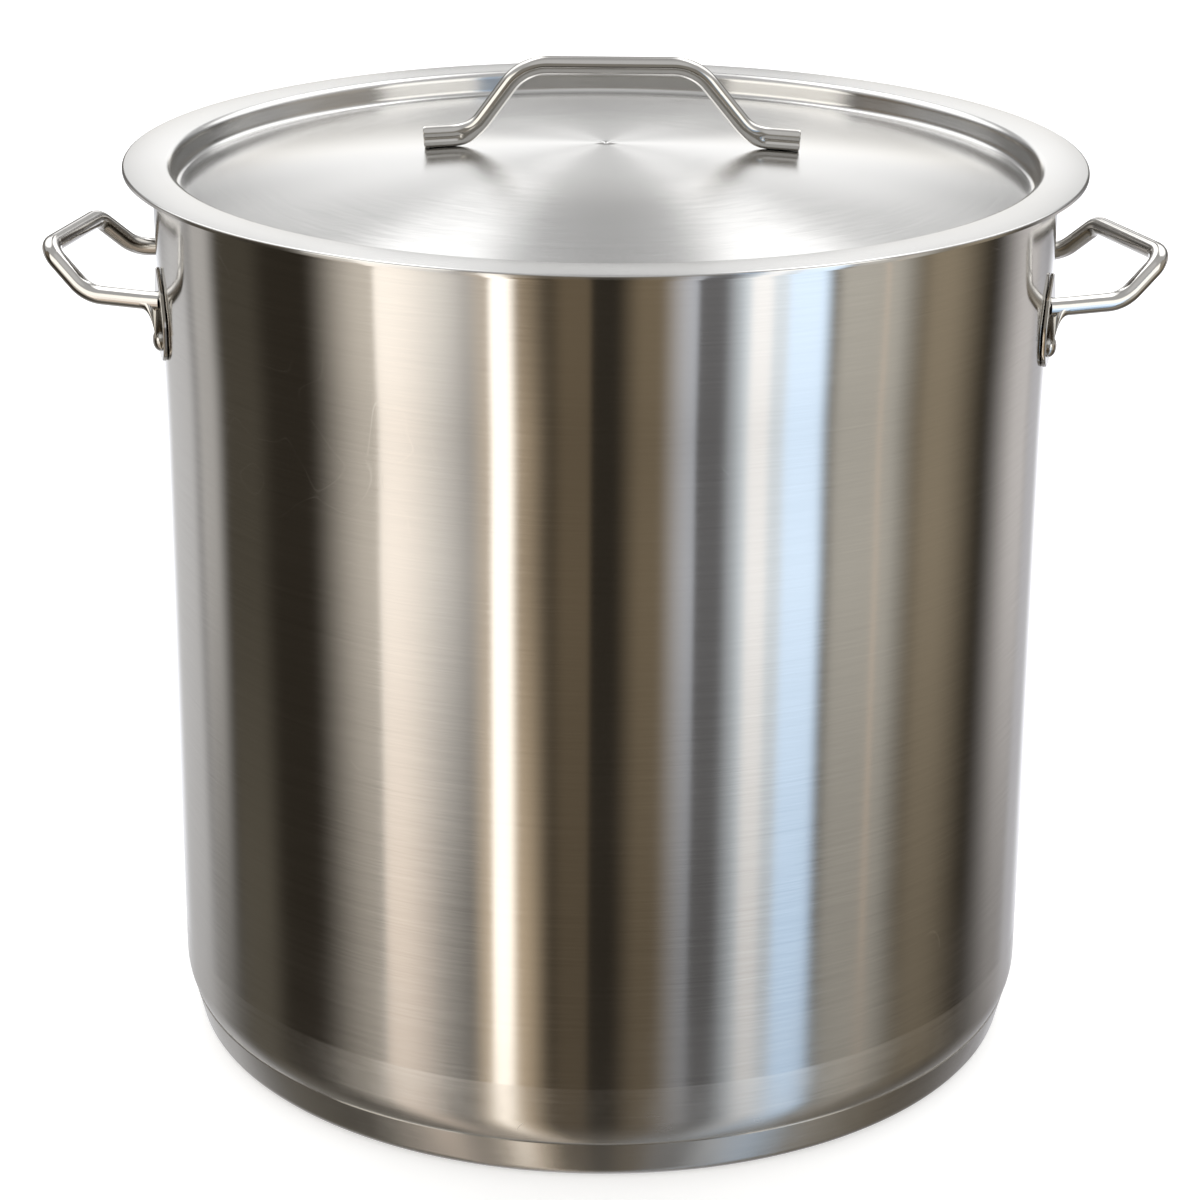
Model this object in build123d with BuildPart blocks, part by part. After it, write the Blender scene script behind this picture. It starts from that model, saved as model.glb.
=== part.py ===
from build123d import *
import os
from math import asin, cos, degrees, radians, sin, sqrt, tan

# A stainless steel stock pot used as a brew kettle, with its lift-off lid.
# Millimetres, +Z up. The origin is on the floor under the centre of the base,
# and the two side handles stand on the X axis.

# ---- driving dimensions ----
inside_diameter = 500.0
wall_sheet = 1.0
rim_top = 514.1

# barrel: straight below, eased out a little towards the rim
weld_height = 59.0
ease_start = 350.0
ease_end = 505.0
ease_out = 2.4
rim_bend = 3.5
rim_radius = 262.5
rim_edge_bend = 2.0
rim_edge_drop = 4.0

# drawn bottom and the sandwich base under it
dish_floor = 9.0
dish_corner = 29.0
cap_sheet = 0.8
cap_corner_x = 242.3
cap_seam_x = 247.9
cap_seam_height = 23.0
cap_bend = 8.0
core_top = 20.0

# lid
lid_sheet = 1.0
lid_seat_gap = 0.1
lid_radius = 269.8
lid_lip_drop = 2.3
lid_lip_bend = 1.2
recess_radius = 241.9
recess_bend = 4.5
recess_fillet = 4.0
panel_edge_height = 500.4
panel_crown_height = 521.6
centre_mark_radius = 1.6
centre_mark_depth = 0.5

# tube handles
tube_diameter = 10.4

# side handles: out from one ear, up, along the grip and back to the other ear.
# Each grip stands further out at its front end, the right one more so. Its reaches
# are those of its front corner, rear corner and rear elbow.
ear_azimuth = 15.0
leg_height = 445.5
leg_closing = 20.0
grip_height = 467.5
front_elbow_reach = 287.5
front_corner_side = 34.0
rear_corner_side = 37.0
left_reaches = (311.5, 293.5, 274.0)
right_reaches = (312.4, 284.5, 266.0)
elbow_bend = 26.0
corner_bend = 13.0

# ear: the flattened end of the tube, riveted to the wall
rivet_height = 423.5
ear_foot = -11.5
ear_sheet = 2.2
ear_lean = 1.5
ear_wall_gap = 0.2
ear_edge_round = 0.7
ear_stub = 9.0
ear_trim_width = 62.0
ear_trim_height = 83.0
ear_rounds = (
    # height above the rivet and radius of each circle that the outline is drawn round
    (2.0, 13.5),
    (12.0, 14.9),
    (24.0, 11.6),
    (38.7, 2.8),
)
ear_flare = (
    # height above the rivet, distance off the wall, drop angle, half width, half thickness
    (20.6, 6.4, 25, 5.4, 4.7),
    (16.4, 3.4, 60, 6.9, 3.0),
    (8.5, 1.3, 88, 8.0, 1.1),
)

# rivet
rivet_shank_radius = 3.0
rivet_hole_radius = 3.1
rivet_head_radius = 6.1
rivet_head_height = 4.2
rivet_inner_height = 2.2
rivet_inner_seat = 1.5

# lid handle, its ends pressed upright where they stand on the lid
handle_bar_height = 565.0
handle_bar_left = 49.8
handle_bar_right = 46.3
handle_knee = 78.5
handle_end = 105.2
handle_offset = 3.3
handle_knee_bend = 23.0
handle_shoulder_bend = 27.0
foot_half_width = 4.3
foot_half_height = 6.1
foot_groove_radius = 2.6
foot_groove_depth = 1.3
foot_edge_round = 0.5
press_steps = (
    # share of the knee bend, half width and half height of the tube there
    (0.3, tube_diameter / 2, tube_diameter / 2),
    (0.6, 4.9, 5.5),
    (0.85, 4.5, 5.9),
    (1.0, foot_half_width, foot_half_height),
)

# ---- worked out from them ----
inside_radius = inside_diameter / 2
outside_radius = inside_radius + wall_sheet
neck_radius = inside_radius + ease_out
tube_radius = tube_diameter / 2
ear_foot_ease = 2 * ease_out * ((rivet_height + ear_foot - ease_start) / (ease_end - ease_start)) ** 2
ear_base = outside_radius + ear_foot_ease + ear_wall_gap - ear_foot * sin(radians(ear_lean))
lid_top = rim_top + lid_seat_gap + lid_sheet
ease_middle = (ease_start + ease_end) / 2
dish_corner_height = dish_floor + dish_corner
dish_outer_floor = dish_floor - wall_sheet
crown_rise = panel_crown_height - panel_edge_height
ear_azimuths = (-ear_azimuth, ear_azimuth, 180 - ear_azimuth, 180 + ear_azimuth)
crown_radius = (recess_radius**2 + crown_rise**2) / (2 * crown_rise)
crown_centre = Pos(0, 0, panel_crown_height - crown_radius)


def crown_height(radius):
    """Top of the lid's crowned panel at a distance from the axis."""
    return panel_crown_height - crown_radius + sqrt(crown_radius**2 - radius**2)


def ear_plane(azimuth):
    """Inner face of an ear on the wall, its Y axis leaning outwards."""
    outward = Vector(cos(radians(azimuth)), sin(radians(azimuth)), 0)
    along = Vector(-outward.Y, outward.X, 0)
    lean = radians(ear_lean)
    origin = outward * ear_base + Vector(0, 0, rivet_height)
    return Plane(origin, x_dir=along, z_dir=outward * cos(lean) - Vector(0, 0, sin(lean)))


def bent_tube(corners, bends):
    """Straight runs joined by tangent arcs, drawn into the active line."""
    start = corners[0]
    for before, corner, after, bend_radius in zip(corners, corners[1:], corners[2:], bends):
        inward = (corner - before).normalized()
        outward = (after - corner).normalized()
        setback = bend_radius * tan(radians(inward.get_angle(outward)) / 2)
        arc_start = corner - inward * setback
        Line(start, arc_start)
        start = corner + outward * setback
        TangentArc(arc_start, start, tangent=inward)
    Line(start, corners[-1])


# ---- barrel: rolled sheet, eased out under the rim, with a turned rim ----
with BuildPart() as barrel:
    with BuildSketch(Plane.XZ):
        with BuildLine():
            wall = Line((inside_radius, weld_height), (inside_radius, ease_start))
            ease_low = TangentArc(
                wall @ 1, (inside_radius + ease_out / 2, ease_middle), tangent=(0, 1)
            )
            ease_high = TangentArc(ease_low @ 1, (neck_radius, ease_end), tangent=ease_low % 1)
            neck = Line(ease_high @ 1, (neck_radius, rim_top - rim_bend))
            bend = TangentArc(neck @ 1, (neck_radius + rim_bend, rim_top), tangent=(0, 1))
            rim = Line(bend @ 1, (rim_radius - rim_edge_bend, rim_top))
            edge = TangentArc(rim @ 1, (rim_radius, rim_top - rim_edge_bend), tangent=(1, 0))
            Line(edge @ 1, (rim_radius, rim_top - rim_edge_drop))
            offset(amount=wall_sheet, side=Side.RIGHT)
        make_face()
    revolve(axis=Axis.Z)
    for azimuth in ear_azimuths:
        with BuildSketch(ear_plane(azimuth)):
            Circle(rivet_hole_radius)
        extrude(amount=tube_diameter, both=True, mode=Mode.SUBTRACT)
barrel.part.label = "barrel"

# ---- drawn bottom with its large corner, butt-welded to the barrel ----
with BuildPart() as bottom_dish:
    with BuildSketch(Plane.XZ) as dish_profile:
        with BuildLine():
            flat = Line((0, dish_floor), (inside_radius - dish_corner, dish_floor))
            corner = TangentArc(flat @ 1, (inside_radius, dish_corner_height), tangent=(1, 0))
            Line(corner @ 1, (inside_radius, weld_height))
            offset(amount=wall_sheet, side=Side.RIGHT)
        make_face()
    revolve(axis=Axis.Z)
bottom_dish.part.label = "bottom_dish"

# ---- stainless cap that closes the sandwich base ----
with BuildPart() as base_cap:
    with BuildSketch(Plane.XZ) as cap_profile:
        with BuildLine():
            FilletPolyline(
                (0, 0), (cap_corner_x, 0), (cap_seam_x, cap_seam_height), radius=cap_bend
            )
            offset(amount=cap_sheet, side=Side.LEFT)
        make_face()
    revolve(axis=Axis.Z)
base_cap.part.label = "base_cap"

# ---- aluminium core pressed between the drawn bottom and the cap ----
with BuildPart() as base_core:
    with BuildSketch(Plane.XZ):
        with BuildLine():
            under = FilletPolyline(
                (0, 0), (cap_corner_x, 0), (cap_seam_x, cap_seam_height), radius=cap_bend
            )
            Polyline(under @ 1, (0, cap_seam_height), (0, 0))
        make_face()
        add(cap_profile.sketch, mode=Mode.SUBTRACT)
        with BuildLine():
            dish_under = Line((0, dish_outer_floor), (inside_radius - dish_corner, dish_outer_floor))
            around = TangentArc(dish_under @ 1, (outside_radius, dish_corner_height), tangent=(1, 0))
            Polyline(around @ 1, (0, dish_corner_height), (0, dish_outer_floor))
        make_face(mode=Mode.SUBTRACT)
        with Locations((0, core_top)):
            Rectangle(
                outside_radius, cap_seam_height, align=(Align.MIN, Align.MIN), mode=Mode.SUBTRACT
            )
    revolve(axis=Axis.Z)
base_core.part.label = "base_core"

# ---- ear: the tube's flattened end, in its own frame: X along the wall, Y up, Z off the wall ----
leg_turn = radians(ear_azimuth + leg_closing)
leg_run = Vector(sin(leg_turn), 0, cos(leg_turn))
leg_foot = Vector(0, leg_height - rivet_height, 0)
leg_start = leg_foot + leg_run * (ear_stub + ear_sheet)
with BuildPart() as ear:
    with BuildSketch():
        with BuildLine():
            for height, radius in ear_rounds:
                CenterArc((0, height), radius, 0, 360)
        make_hull()
    extrude(amount=ear_sheet)
    fillet(ear.faces().sort_by(Axis.Z)[-1].edges(), radius=ear_edge_round)
    with BuildSketch(Plane(leg_start, z_dir=-leg_run)):
        Circle(tube_radius)
    extrude(amount=ear_stub + ear_sheet)
    with BuildSketch(Plane(leg_start, x_dir=(-leg_run.Z, 0, leg_run.X), z_dir=-leg_run)):
        Circle(tube_radius)
    for height, off_wall, drop, half_width, half_thickness in ear_flare:
        drop = radians(drop)
        run = -leg_run * cos(drop) - Vector(0, sin(drop), 0)
        middle = Vector(leg_run.X * off_wall / leg_run.Z, height, off_wall)
        with BuildSketch(Plane(middle, x_dir=(-leg_run.Z, 0, leg_run.X), z_dir=run)):
            Ellipse(half_width, half_thickness)
    loft()
    with BuildSketch():
        Circle(rivet_hole_radius)
    extrude(amount=ear_sheet, mode=Mode.SUBTRACT)
    with BuildSketch():
        with Locations(leg_foot):
            Rectangle(ear_trim_width, ear_trim_height)
    extrude(amount=-tube_diameter, mode=Mode.SUBTRACT)


# ---- side handles: one bent tube over two ears, the left one mirrored ----
front_ear = ear_plane(-ear_azimuth)
front_leg = front_ear.from_local_coords(leg_start)
rear_leg = Vector(front_leg.X, -front_leg.Y, front_leg.Z)
leg_slope = tan(radians(leg_closing))


def side_handle(front_corner_reach, rear_corner_reach, rear_elbow_reach):
    """A handle on the +X side, its grip closing in towards the rear."""
    front_side = front_leg.Y + leg_slope * (front_elbow_reach - front_leg.X)
    rear_side = rear_leg.Y - leg_slope * (rear_elbow_reach - rear_leg.X)
    corners = (
        front_leg,
        Vector(front_elbow_reach, front_side, front_leg.Z),
        Vector(front_corner_reach, -front_corner_side, grip_height),
        Vector(rear_corner_reach, rear_corner_side, grip_height),
        Vector(rear_elbow_reach, rear_side, front_leg.Z),
        rear_leg,
    )
    with BuildPart() as handle:
        with BuildLine() as rail:
            bent_tube(corners, (elbow_bend, corner_bend, corner_bend, elbow_bend))
        with BuildSketch(Plane(front_leg, z_dir=rail.line % 0)):
            Circle(tube_radius)
        sweep(path=rail.line)
        with Locations(front_ear):
            add(ear.part)
        add(mirror(front_ear.location * ear.part, about=Plane.XZ, mode=Mode.PRIVATE))
    return handle.part


with BuildPart() as right_handle:
    add(side_handle(*right_reaches))
right_handle.part.label = "right_handle"

with BuildPart() as left_handle:
    mirror(side_handle(*left_reaches), about=Plane.YZ)
left_handle.part.label = "left_handle"

# ---- rivets: domed head on the ear, shank through ear and wall, low head inside ----
rivets = []
rivet_names = ("rivet_right_front", "rivet_right_rear", "rivet_left_rear", "rivet_left_front")
for name, azimuth in zip(rivet_names, ear_azimuths):
    seat_plane = ear_plane(azimuth)
    with BuildPart() as rivet:
        with BuildSketch(Plane(seat_plane.origin, x_dir=seat_plane.x_dir, z_dir=-seat_plane.y_dir)):
            with BuildLine():
                axis_line = Line(
                    (0, -rivet_inner_seat - rivet_inner_height), (0, ear_sheet + rivet_head_height)
                )
                head = TangentArc(axis_line @ 1, (rivet_head_radius, ear_sheet), tangent=(1, 0))
                inner_head = TangentArc(
                    axis_line @ 0, (rivet_head_radius, -rivet_inner_seat), tangent=(1, 0)
                )
                Polyline(
                    head @ 1,
                    (rivet_shank_radius, ear_sheet),
                    (rivet_shank_radius, -rivet_inner_seat),
                    inner_head @ 1,
                )
            make_face()
        revolve(axis=Axis(seat_plane.origin, seat_plane.z_dir))
    rivet.part.label = name
    rivets.append(rivet)

# ---- lid: one spun sheet, flange, recess wall and crowned panel ----
with BuildPart() as lid:
    with BuildSketch(Plane.XZ):
        with BuildLine() as lid_line:
            mark_floor = panel_crown_height - centre_mark_depth
            mark = Polyline(
                (0, mark_floor),
                (centre_mark_radius / 2, mark_floor),
                (centre_mark_radius, crown_height(centre_mark_radius)),
            )
            panel = ThreePointArc(
                mark @ 1,
                (recess_radius / 2, crown_height(recess_radius / 2)),
                (recess_radius, panel_edge_height),
            )
            FilletPolyline(
                panel @ 1,
                (recess_radius, lid_top),
                (lid_radius, lid_top),
                (lid_radius, lid_top - lid_lip_drop),
                radius=(recess_bend, lid_lip_bend),
            )
            fillet(lid_line.vertices().sort_by_distance(panel @ 1)[0], radius=recess_fillet)
            offset(amount=lid_sheet, side=Side.RIGHT)
        make_face()
    revolve(axis=Axis.Z)
lid.part.label = "lid"

# ---- lid handle: bent tube with two pressed feet, its bar a little shorter to the right ----
foot_slope = Vector(handle_end - handle_knee, 0, crown_height(handle_end) - crown_height(handle_knee))
foot_run = foot_slope.normalized()
foot_up = Vector(-foot_run.Z, 0, foot_run.X)
seat_radius = (handle_knee + handle_end) / 2
seat = Vector(seat_radius, 0, crown_height(seat_radius)) + foot_up * foot_half_height
knee = seat + foot_run * ((handle_knee - seat_radius) / foot_run.X)
heel = seat + foot_run * ((handle_end - seat_radius) / foot_run.X)
groove_reach = foot_half_width + foot_groove_radius - foot_groove_depth


def handle_half(bar_reach):
    """The +X half of the handle, from the middle of its bar to the end of its foot."""
    shoulder = Vector(bar_reach, 0, handle_bar_height)
    leg_down = (knee - shoulder).normalized()
    knee_setback = handle_knee_bend * tan(radians(leg_down.get_angle(foot_run)) / 2)
    knee_start = knee - leg_down * knee_setback
    knee_end = knee + foot_run * knee_setback
    shoulder_setback = handle_shoulder_bend * tan(radians(leg_down.get_angle(Vector(1, 0, 0))) / 2)
    with BuildPart() as half:
        with BuildLine() as bar_rail:
            knee_bend = TangentArc(knee_start, knee_end, tangent=leg_down, mode=Mode.PRIVATE)
            bar = Line((0, 0, handle_bar_height), (bar_reach - shoulder_setback, 0, handle_bar_height))
            down = TangentArc(bar @ 1, shoulder + leg_down * shoulder_setback, tangent=(1, 0, 0))
            leg = Line(down @ 1, knee_start)
            TangentArc(leg @ 1, knee_bend @ press_steps[0][0], tangent=leg_down)
        with BuildSketch(Plane((0, 0, handle_bar_height), z_dir=(1, 0, 0))):
            Circle(tube_radius)
        sweep(path=bar_rail.line)
        for share, half_width, half_height in press_steps:
            with BuildSketch(Plane(knee_bend @ share, x_dir=(0, 1, 0), z_dir=knee_bend % share)):
                Ellipse(half_width, half_height)
        loft()
        with BuildSketch(Plane(knee_end, x_dir=(0, 1, 0), z_dir=foot_run)):
            Ellipse(foot_half_width, foot_half_height)
        extrude(amount=(heel - knee_end).length)
        fillet(half.faces().sort_by(Axis.X)[-1].edges(), radius=foot_edge_round)
        for groove in (knee_end - Vector(0, groove_reach, 0), knee_end + Vector(0, groove_reach, 0)):
            with BuildSketch(Plane(groove, z_dir=foot_run)):
                Circle(foot_groove_radius)
            extrude(amount=handle_end, mode=Mode.SUBTRACT)
            with Locations(groove):
                Sphere(foot_groove_radius, mode=Mode.SUBTRACT)
    return half.part


# it stands a little to the right of the centre, slid along the crowned panel
slide = Rot(0, degrees(asin(handle_offset / crown_radius)), 0)
with BuildPart() as lid_handle:
    with Locations(crown_centre * slide * crown_centre.inverse()):
        add(handle_half(handle_bar_right))
        add(mirror(handle_half(handle_bar_left), about=Plane.YZ, mode=Mode.PRIVATE))
lid_handle.part.label = "lid_handle"

os.makedirs("parts", exist_ok=True)
nodes = (barrel, bottom_dish, base_core, base_cap, right_handle, left_handle, lid, lid_handle)
for node in (*nodes, *rivets):
    export_step(node.part, f"parts/{node.part.label}.step")
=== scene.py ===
import math

import bmesh
import bpy
from bpy.props import FloatProperty, FloatVectorProperty, PointerProperty
from mathutils import Matrix, Vector
from mathutils.geometry import convex_hull_2d


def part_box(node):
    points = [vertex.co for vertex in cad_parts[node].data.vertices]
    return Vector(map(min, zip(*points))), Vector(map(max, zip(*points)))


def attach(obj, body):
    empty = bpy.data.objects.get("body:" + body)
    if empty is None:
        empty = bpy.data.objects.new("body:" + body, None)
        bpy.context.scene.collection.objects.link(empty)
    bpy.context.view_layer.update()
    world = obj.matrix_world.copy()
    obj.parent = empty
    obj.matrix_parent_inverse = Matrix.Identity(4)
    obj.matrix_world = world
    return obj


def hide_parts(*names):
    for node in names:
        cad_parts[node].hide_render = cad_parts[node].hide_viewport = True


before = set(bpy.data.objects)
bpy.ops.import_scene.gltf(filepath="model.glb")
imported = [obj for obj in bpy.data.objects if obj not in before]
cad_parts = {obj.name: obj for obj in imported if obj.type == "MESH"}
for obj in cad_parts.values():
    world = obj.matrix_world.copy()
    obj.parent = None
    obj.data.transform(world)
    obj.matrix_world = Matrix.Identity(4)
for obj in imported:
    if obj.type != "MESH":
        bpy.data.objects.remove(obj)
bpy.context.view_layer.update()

bl_info = {
    "name": "Brew Kettle",
    "version": (1, 0, 0),
    "blender": (4, 5, 0),
    "location": "View3D > Sidebar > Kettle",
    "description": "Spun steel brew kettle with riveted tube handles and a lift-off lid",
    "category": "Add Mesh",
}

BARREL_LOW, BARREL_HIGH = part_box("barrel")
DISH_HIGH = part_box("bottom_dish")[1]
CAP_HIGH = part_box("base_cap")[1]
LID_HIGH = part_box("lid")[1]
BAR_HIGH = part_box("lid_handle")[1]
KETTLE, LID = "kettle", "lid"
# The side of its drawn section on which a spun sheet gets its thickness.
SHEET_RIGHT, SHEET_LEFT = -1.0, 1.0

BLACK, WHITE = (0.0, 0.0, 0.0, 1.0), (1.0, 1.0, 1.0, 1.0)
DARK_ROOM = (0.035, 0.029, 0.021)
DARK_HORIZON = (0.06, 0.055, 0.05, 1.0)
FLOOR_LIGHT = (0.3, 0.28, 0.25, 1.0)

# Strip lights standing round the kettle, with azimuths in degrees from the front towards the
# right handle: where a strip starts and ends, how far it fades in before and out after that,
# its light, and the share of it that is left near the floor. The wall mirrors these, and their
# power makes all of them brighter.
WALL_STRIPS_POWER = 1.1
WALL_STRIPS = (
    (-180, -166, 1, 14, (0.72, 0.75, 0.82), 0.5),
    (-180, -136, 1, 12, (0.58, 0.58, 0.59), 0.95),
    (-125, -121, 6, 9, (0.5, 0.49, 0.48), 0.4),
    (-111, -102, 6, 10, (0.04, 0.036, 0.028), 2.5),
    (-60, -57, 21, 32, (0.75, 0.69, 0.61), 0.5),
    (-58, -42, 1.5, 24, (0.62, 0.61, 0.6), 0.1),
    (-58, -55, 1.5, 16, (0.13, 0.1, 0.08), 4.5),
    (-29, -21, 6, 9, (0.33, 0.26, 0.18), 2.2),
    (-27.2, -24.4, 2.1, 3.6, (1.45, 1.42, 1.38), 1.0),
    (-9, -4.2, 7, 1.8, (0.14, 0.105, 0.065), 0.5),
    (10, 15, 8, 9, (0.2, 0.155, 0.1), 0.5),
    (21.8, 22.4, 9, 1.2, (0.6, 0.64, 0.72), 0.3),
    (24, 31, 1.5, 3, (0.145, 0.15, 0.165), 0.6),
    (37, 54.5, 8.5, 5, (1.05, 1.15, 1.25), 0.5),
    (37.5, 40.5, 2.5, 2.5, (0.38, 0.28, 0.2), 0.6),
    (47.5, 55, 3, 4, (0.08, 0.22, 0.42), 1.2),
    (62, 76, 6, 12, (0.56, 0.54, 0.49), 0.55),
    (73.6, 74.2, 0.6, 0.8, (0.18, 0.1, 0.05), 1.5),
    (91, 94, 12, 22, (0.3, 0.25, 0.18), 0.5),
    (134, 139, 22, 8, (0.62, 0.6, 0.6), 0.4),
    (147, 180, 7, 1, (0.5, 0.5, 0.53), 1.0),
    (168, 180, 16, 1, (1.05, 1.08, 1.15), 0.4),
)
# The strips above them, which the rims and the handles mirror.
WINDOW_STRIPS = (
    (-180, -176, 1, 2, (0.2, 0.19, 0.17), 1.0),
    (-175, -171, 2, 2, (1.5, 1.45, 1.35), 1.0),
    (-168, -78, 5, 3, (0.17, 0.14, 0.11), 1.0),
    (-71, -37, 3, 3, (1.7, 1.65, 1.55), 1.0),
    (-36, 30, 3, 3, (0.25, 0.24, 0.22), 1.0),
    (31, 36, 2, 3, (0.35, 0.5, 0.7), 1.0),
    (39, 66, 3, 4, (1.7, 1.67, 1.6), 1.0),
    (72, 118, 4, 14, (0.4, 0.37, 0.33), 1.0),
    (142, 168, 8, 5, (0.2, 0.19, 0.17), 1.0),
    (171, 175, 2, 2, (1.5, 1.45, 1.35), 1.0),
    (176, 180, 2, 1, (0.2, 0.19, 0.17), 1.0),
)
# Soft boxes overhead: the way to each, the cosines of the angle off it between which its light
# comes up, and its light.
SOFT_BOXES = (
    ((-0.45, 0.5, 0.74), 0.88, 0.93, 1.0),
    ((0.45, 0.5, 0.74), 0.88, 0.93, 1.0),
    ((0.0, -0.6, 0.8), 0.9, 0.95, 0.12),
)
# Heights in the room, as the z of the way there, between which one light changes into the next.
NEAR_FLOOR = (-0.3, -0.47)
ON_FLOOR = (-0.5, -0.95)
OVER_STRIPS = (-0.12, 0.1)
# The height at which the middle of the lid mirrors the sky behind the kettle.
LID_MIRROR_Z = 0.342


# ---- node trees ----


def maths(operation, turned=False):
    """An operator of a wire that adds one Math node."""

    def work(wire, other):
        return wire.math(operation, *((other, wire) if turned else (wire, other)))

    return work


class Wire:
    """An output socket that adds Math nodes when it is used in an expression."""

    def __init__(self, board, socket):
        self.board = board
        self.socket = socket

    def math(self, operation, *values):
        return self.board.add("ShaderNodeMath", {"operation": operation}, dict(enumerate(values)))

    def __neg__(self):
        return self.math("MULTIPLY", self, -1.0)

    def __abs__(self):
        return self.math("ABSOLUTE", self)

    __add__ = __radd__ = maths("ADD")
    __mul__ = __rmul__ = maths("MULTIPLY")
    __sub__ = maths("SUBTRACT")
    __rsub__ = maths("SUBTRACT", turned=True)
    __truediv__ = maths("DIVIDE")
    __rtruediv__ = maths("DIVIDE", turned=True)
    __pow__ = maths("POWER")

    def fade(self, low, high, at_low=0.0, at_high=1.0):
        """A smooth change from at_low to at_high as the value goes from low to high."""
        settings = {"interpolation_type": "SMOOTHSTEP"}
        ends = dict(enumerate((self, low, high, at_low, at_high)))
        return self.board.add("ShaderNodeMapRange", settings, ends)


class Board:
    """A node tree that is filled by one method."""

    def __init__(self, tree):
        self.tree = tree

    def add(self, kind, settings=None, inputs=None, output=0):
        """Adds a node, sets its options first and then its sockets, and returns an output."""
        node = self.tree.nodes.new(kind)
        for name, value in (settings or {}).items():
            setattr(node, name, value)
        for name, value in (inputs or {}).items():
            if isinstance(value, Wire):
                self.tree.links.new(value.socket, node.inputs[name])
            else:
                node.inputs[name].default_value = value
        return Wire(self, node.outputs[output]) if node.outputs else node

    def outputs(self, wire):
        """All the outputs of the node that a wire comes from, by name."""
        return {socket.name: Wire(self, socket) for socket in wire.socket.node.outputs}

    def parts(self, vector):
        """The x, y and z of a vector."""
        first = self.add("ShaderNodeSeparateXYZ", None, {0: vector})
        return tuple(Wire(self, socket) for socket in first.socket.node.outputs)

    def vector(self, x, y, z):
        """A vector from three values."""
        return self.add("ShaderNodeCombineXYZ", None, {0: x, 1: y, 2: z})

    def arrows(self, operation, first, second, output=0):
        """Vector maths on two vectors."""
        inputs = {0: first, 1: second}
        return self.add("ShaderNodeVectorMath", {"operation": operation}, inputs, output)

    def named(self, kind, name):
        """An attribute of the geometry, by its name."""
        return self.add("GeometryNodeInputNamedAttribute", {"data_type": kind}, {"Name": name})

    def noise(self, vector, scale, detail=2.0, roughness=0.5):
        """Noise about 0.5 at a scale."""
        inputs = {"Vector": vector, "Scale": scale, "Detail": detail, "Roughness": roughness}
        return self.add("ShaderNodeTexNoise", None, inputs)

    def blend(self, share, first, second):
        """A colour between two colours."""
        inputs = {0: share, 6: first, 7: second}
        return self.add("ShaderNodeMix", {"data_type": "RGBA"}, inputs, output=2)


def new_tree(name, sockets):
    """A geometry node group with a geometry input, named inputs and a geometry output."""
    tree = bpy.data.node_groups.new(name, "GeometryNodeTree")
    tree.interface.new_socket("Geometry", in_out="INPUT", socket_type="NodeSocketGeometry")
    for label, kind, value in sockets:
        socket = tree.interface.new_socket(label, in_out="INPUT", socket_type=kind)
        if value is not None:
            socket.default_value = value
    tree.interface.new_socket("Geometry", in_out="OUTPUT", socket_type="NodeSocketGeometry")
    board = Board(tree)
    ends = board.outputs(board.add("NodeGroupInput"))
    return board, ends


def close_tree(board, geometry, material):
    """Realizes what is there, gives it its material and ends the tree."""
    solid = board.add("GeometryNodeRealizeInstances", None, {0: geometry})
    shaded = board.add("GeometryNodeSetShadeSmooth", None, {0: solid, "Shade Smooth": True})
    done = board.add("GeometryNodeSetMaterial", None, {0: shaded, "Material": material})
    board.add("NodeGroupOutput", None, {0: done})
    return board.tree


def rounded_line(board, ends):
    """The incoming edges as a curve with each corner rounded by its own bend radius."""
    line = board.add("GeometryNodeMeshToCurve", None, {0: ends["Geometry"]})
    bend = board.named("FLOAT", "bend")
    inputs = {"Curve": line, "Count": ends["Bend Steps"], "Radius": bend, "Limit Radius": True}
    return board.add("GeometryNodeFilletCurve", {"mode": "POLY"}, inputs)


def spun_sheet_tree():
    """Turns a section, drawn as edges in the X-Z plane, about the Z axis."""
    board, ends = new_tree("Spun Sheet", (
        ("Segments", "NodeSocketInt", 256),
        ("Bend Steps", "NodeSocketInt", 8),
        ("Material", "NodeSocketMaterial", None),
    ))
    section = rounded_line(board, ends)
    rail_radius = 1.0
    x, y, z = board.parts(board.add("GeometryNodeInputPosition"))
    flat = board.vector(x - rail_radius, -z, y)
    section = board.add("GeometryNodeSetPosition", None, {0: section, "Position": flat})
    rail = board.add("GeometryNodeCurvePrimitiveCircle", None, {
        "Resolution": ends["Segments"], "Radius": rail_radius,
    })
    sheet = board.add("GeometryNodeCurveToMesh", None, {0: rail, 1: section})
    closed = board.add("GeometryNodeMergeByDistance", None, {0: sheet, "Distance": 1e-6})
    return close_tree(board, closed, ends["Material"])


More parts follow.
